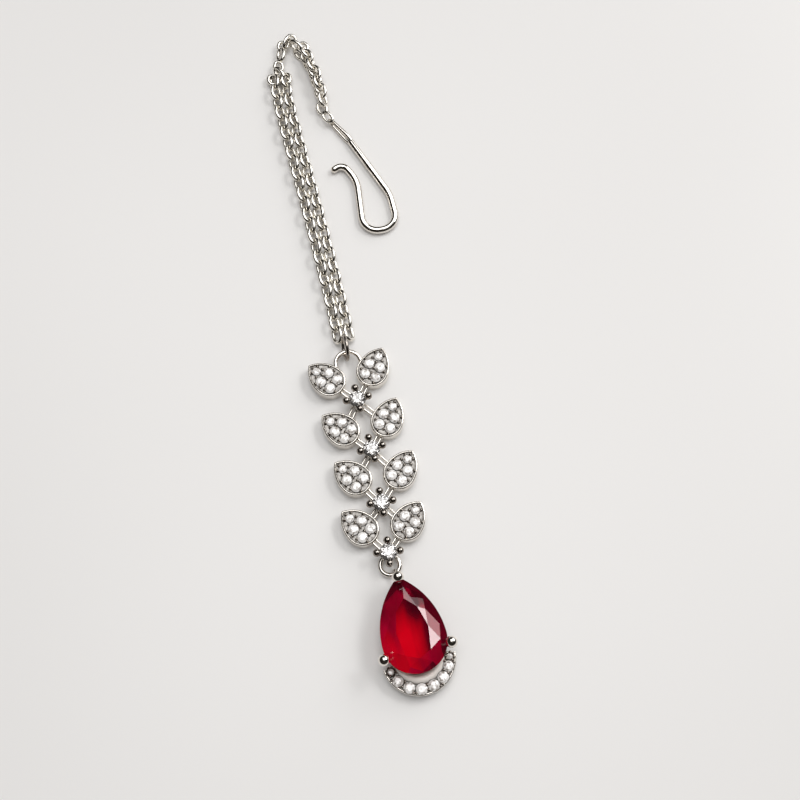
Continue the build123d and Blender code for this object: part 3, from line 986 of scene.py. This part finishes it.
# The double row from the chain's ring to the start of its fold, in plan
CHAIN_ROUTE = (
    (-3.3, -1.2), (-3.35, 0.55), (-3.42, 7.15), (-3.75, 17.15), (-4.3, 29.15), (-4.95, 40.65),
    (-5.2, 47.85), (-4.8, 52.45),
)
CHAIN_Z = 0.98                    # height of the double row's middle line
LINK_PITCH = 2.07
FIRST_LINK_AT = 2.0               # along the route
LINK_WIRE, LINK_HALF_WIDTH = 0.32, 0.91
LINK_HALF_LENGTH = LINK_PITCH / 2 + LINK_WIRE
ROW_OFFSET = 0.98
LEAN_OUT, LEAN_IN = 43, 49        # how far the links tilt, outer side up and inner side up

# Links round the fold, where the double row twists: middle x, y, z, the way of the long axis,
# how far it rises and how far the link tilts about it, half length and half width of the wire's
# middle line.
FOLD_LINKS = (
    (-6.15, 51.2, 0.75, 95, 0, 8, 0.9, 0.8), (-3.85, 50.75, 0.8, 75, 0, -14, 1.1, 0.82),
    (-4.8, 51.75, 1.5, -66, 0, 50, 1.25, 0.62), (-4.66, 53.55, 0.95, 82, 0, 10, 0.95, 0.7),
    (-3.85, 55.7, 1.15, 78, 0, -38, 1.15, 0.68), (-3.24, 57.65, 0.8, 70, 0, 12, 0.85, 0.72),
    (-2.35, 57.85, 1.4, 58, 12, 66, 1.1, 0.6), (-1.39, 58.75, 0.9, 85, 0, 10, 0.8, 0.76),
    (-0.8, 56.75, 1.5, -52, 0, 62, 1.35, 0.7), (0.4, 56.6, 0.9, -60, 0, 12, 0.95, 0.78),
    (-0.55, 55.3, 0.6, -55, 0, 58, 1.1, 0.6), (0.55, 55.2, 1.5, -70, 0, -48, 1.2, 0.75),
    (1.35, 43.6, 0.8, -70, 0, 14, 1.1, 0.75),
)
RETURN_PITCH, RETURN_HALF_WIDTH = 1.87, 0.94
RETURN_HALF_LENGTH = RETURN_PITCH / 2 + LINK_WIRE + 0.05
# The two rows on the way back, one on the other: corners, first link, how many, how far the
# links tilt.
RETURN_ROWS = (
    (((-0.2, 56.2, 1.5), (0.75, 54.0, 1.75), (1.35, 51.0, 1.75), (1.7, 48.0, 1.75),
      (1.75, 45.0, 1.5)), 2.35, 6, (30, -52)),
    (((0.2, 55.2, 0.6), (0.95, 52.6, 0.65), (1.45, 49.6, 0.65), (1.75, 46.6, 0.65),
      (1.7, 43.6, 0.6)), 2.2, 4, (46, -46)),
)


def link_form(centre, along, width, half_length=LINK_HALF_LENGTH, half_width=LINK_HALF_WIDTH):
    """One oval link with its long way along and its short way along width, lifted clear of the
    surface that the chain lies on."""
    x, y = oval(half_length, half_width)
    path = np.array(centre) + x[:, None] * along + y[:, None] * width
    path[:, 2] += max(0.0, LINK_WIRE - path[:, 2].min())
    return tube(path, LINK_WIRE, 14, True, np.cross(along, width))


def along_route(corners):
    """A smooth route, its points and the length up to each one."""
    line = smooth_route(corners)
    steps = np.linalg.norm(np.diff(line, axis=0), axis=1)
    return line, np.concatenate([[0], np.cumsum(steps)])


def place_on(route, s):
    """The point at length s of a route, the way along there, and the level way to the left."""
    line, length = route
    here, ahead, behind = (
        np.array([np.interp(at, length, line[:, i]) for i in range(3)])
        for at in (s, s + 1.0, s - 1.0))
    along = unit(ahead - behind)
    return here, along, unit(np.cross((0, 0, 1), along))


def make_chain():
    wires = Shape()
    double = along_route([(x, y, CHAIN_Z) for x, y in CHAIN_ROUTE])
    count = int((double[1][-1] - FIRST_LINK_AT) / LINK_PITCH) + 1
    for k in range(count):
        here, along, left = place_on(double, FIRST_LINK_AT + k * LINK_PITCH)
        for row in (-1, 1):
            lean = radians(LEAN_OUT if k % 2 else -LEAN_IN) * row
            width = left * cos(lean) + np.array((0, 0, 1)) * sin(lean)
            wires.add(link_form(here + row * ROW_OFFSET * left, along, width))
    for x, y, z, angle, rise, tilt, half_length, half_width in FOLD_LINKS:
        a, b, c = radians(angle), radians(rise), radians(tilt)
        along = np.array((cos(a) * cos(b), sin(a) * cos(b), sin(b)))
        side = unit(np.cross((0, 0, 1), along))
        width = side * cos(c) + np.cross(along, side) * sin(c)
        wires.add(link_form((x, y, z), along, width, half_length, half_width))
    for corners, first_at, count, leans in RETURN_ROWS:
        row = along_route(corners)
        for k in range(count):
            here, along, left = place_on(row, first_at + k * RETURN_PITCH)
            lean = radians(leans[k % 2])
            width = left * cos(lean) + np.cross(along, left) * sin(lean)
            wires.add(link_form(here, along, width, RETURN_HALF_LENGTH, RETURN_HALF_WIDTH))
    wires.object("chain_links", [CHAIN_SILVER], "silver", ["chain"])


make_chain()

# ---- hook ----

HOOK_WIRE = 0.62
# Corners of the hook's middle line in plan, from its tip, and the radius at each of the inner
# ones. HOOK_LOW is the low corner of this line with its wire, as it is in the node's box.
HOOK_CORNERS = (
    (1.15, 31.7), (2.75, 32.45), (4.6, 28.8), (3.75, 18.65), (9.83, 18.65), (9.63, 25.0),
    (5.1, 36.3),
)
HOOK_RADII = (1.4, 6.5, 2.7, 2.7, 8.0)
HOOK_LOW = (1.15 - HOOK_WIRE, 18.65 - HOOK_WIRE)
EYE_END = (2.15, 41.6)
EYE_HALF_WIDTH, EYE_TILT, EYE_Z = 0.44, 25, 0.42
EYE_WIRE = (0.36, 0.27)           # at the shank and at the far end


def fillet(corners, radii, step=0.12):
    """A line through flat corners with a round arc at each."""
    corners = [np.array(c, float) for c in corners]
    line = [corners[0]]
    for before, at, after, r in zip(corners, corners[1:], corners[2:], radii):
        u, v = unit(before - at), unit(after - at)
        half = np.arccos(np.clip(np.dot(u, v), -1, 1)) / 2
        reach = r / tan(half)
        centre = at + unit(u + v) * r / sin(half)
        start, end = at + u * reach, at + v * reach
        a0 = atan2(*(start - centre)[::-1])
        a1 = atan2(*(end - centre)[::-1])
        sweep = (a1 - a0 + pi) % (2 * pi) - pi
        count = max(3, int(abs(sweep) * r / step))
        for a in a0 + sweep * np.linspace(0, 1, count + 1):
            line.append(centre + r * np.array((cos(a), sin(a))))
    line.append(corners[-1])
    return np.array(line)


def eye_loop(length, half, count=20):
    """The long narrow eye: as wide as 2 half at the shank, nearly closed at its end."""
    x = np.linspace(-length / 2, length / 2, count)
    t = (x + length / 2) / length
    y = half * np.sqrt(np.clip(1 - (2 * t - 1) ** 4, 0, 1)) * (1 - 0.45 * t)
    upper, lower = np.column_stack([x, y]), np.column_stack([x, -y])
    return at_height(np.vstack([lower[::-1], upper[1:-1]]), 0)


def make_hook():
    shift = box_mm("hook")[0][:2] - HOOK_LOW
    corners = np.array(HOOK_CORNERS) + shift
    path = at_height(fillet(corners, HOOK_RADII), HOOK_WIRE)
    metal = Shape().add(tube(path, HOOK_WIRE, 28))
    start, end = corners[-1], np.array(EYE_END) + shift
    angle = degrees(atan2(*(end - start)[::-1]))
    length = np.linalg.norm(end - start)
    loop = eye_loop(length, EYE_HALF_WIDTH)
    radii = np.interp(loop[:, 0], (-length / 2, length / 2), EYE_WIRE) - 0.1 * loop[:, 1]
    form = moved(tube(loop, radii, 18, True), (length / 2, 0, 0))
    form = moved(form, (0, 0, 0), 0, -EYE_TILT)
    z = EYE_Z + EYE_HALF_WIDTH * sin(radians(EYE_TILT))
    metal.add(moved(form, (*start, z), angle))
    metal.object("hook_wire", [SILVER], "silver", ["hook"])


make_hook()

# ---- stage ----

FLOOR_HALF = 1.5                  # metres
DARK = (0.02, 0.016, 0.012)


def make_floor():
    mesh = bpy.data.meshes.new("floor")
    corners = [(x * FLOOR_HALF, y * FLOOR_HALF, 0) for x, y in ((-1, -1), (1, -1), (1, 1), (-1, 1))]
    mesh.from_pydata(corners, [], [(0, 1, 2, 3)])
    floor = bpy.data.objects.new("floor", mesh)
    bpy.context.scene.collection.objects.link(floor)
    material, tree, shader = nodes_of("floor")
    stops = (0, (0.80, 0.785, 0.77)), (1, (0.87, 0.855, 0.84))
    colour_by(tree, shader, noise_on(tree, 6).outputs["Fac"], stops)
    shader.inputs["Roughness"].default_value = 0.35
    mesh.materials.append(material)


def make_light(name, energy, size, azimuth, elevation, distance):
    """A white rectangular lamp that faces the origin; degrees and metres."""
    data = bpy.data.lights.new(name, "AREA")
    data.shape = "RECTANGLE"
    data.energy = energy
    data.size, data.size_y = size
    lamp = bpy.data.objects.new(name, data)
    bpy.context.scene.collection.objects.link(lamp)
    a, e = radians(azimuth), radians(elevation)
    way = Vector((cos(a) * cos(e), sin(a) * cos(e), sin(e)))
    lamp.location = way * distance
    lamp.rotation_euler = way.to_track_quat("Z", "Y").to_euler()


def make_flag(name, azimuths, elevations, distance, centre=(0, 0, 0)):
    """A dark studio card round the set, curved round centre: only gloss and glass see it."""
    count_a, count_e = 48, 6
    points, faces = [], []
    for e in np.radians(np.linspace(*elevations, count_e)):
        for a in np.radians(np.linspace(*azimuths, count_a)):
            points.append(centre + distance * np.array((cos(a) * cos(e), sin(a) * cos(e), sin(e))))
    for i in range(count_e - 1):
        for j in range(count_a - 1):
            k = i * count_a + j
            faces.append([k, k + 1, k + count_a + 1, k + count_a])
    mesh = bpy.data.meshes.new(name)
    mesh.from_pydata([tuple(p) for p in points], [], faces)
    card = bpy.data.objects.new(name, mesh)
    bpy.context.scene.collection.objects.link(card)
    material, _, shader = nodes_of(name)
    shader.inputs["Base Color"].default_value = (*DARK, 1)
    shader.inputs["Roughness"].default_value = 1.0
    mesh.materials.append(material)
    card.visible_camera = False
    card.visible_diffuse = False
    card.visible_shadow = False


def make_world():
    world = bpy.data.worlds.new("world")
    bpy.context.scene.world = world
    world.use_nodes = True
    background = world.node_tree.nodes["Background"]
    background.inputs["Color"].default_value = (0.9, 0.89, 0.88, 1)
    background.inputs["Strength"].default_value = 0.485


make_floor()
make_light("key", 3.6, (0.55, 0.27), 18, 48, 1.2)
make_light("strip", 2.5, (0.9, 0.42), 36, 30, 1.2)
make_light("overhead", 4.2, (0.68, 0.85), 90, 74, 1.2)
make_light("low_strip", 0.12, (0.45, 0.09), 45, 17, 0.85)
make_flag("side_flag", (60, 160), (1, 47), 0.9)
make_flag("right_flag", (-75, 60), (1, 18), 0.9)
make_flag("front_flag", (125, 285), (1, 74), 0.9)
make_flag("low_flag", (-76, -8), (1, 62), 0.88)
make_flag("top_flag", (0, 360), (87.4, 90), 0.85, (0.031, 0.069, 0.0))
make_world()
bpy.context.scene.view_settings.view_transform = "Standard"
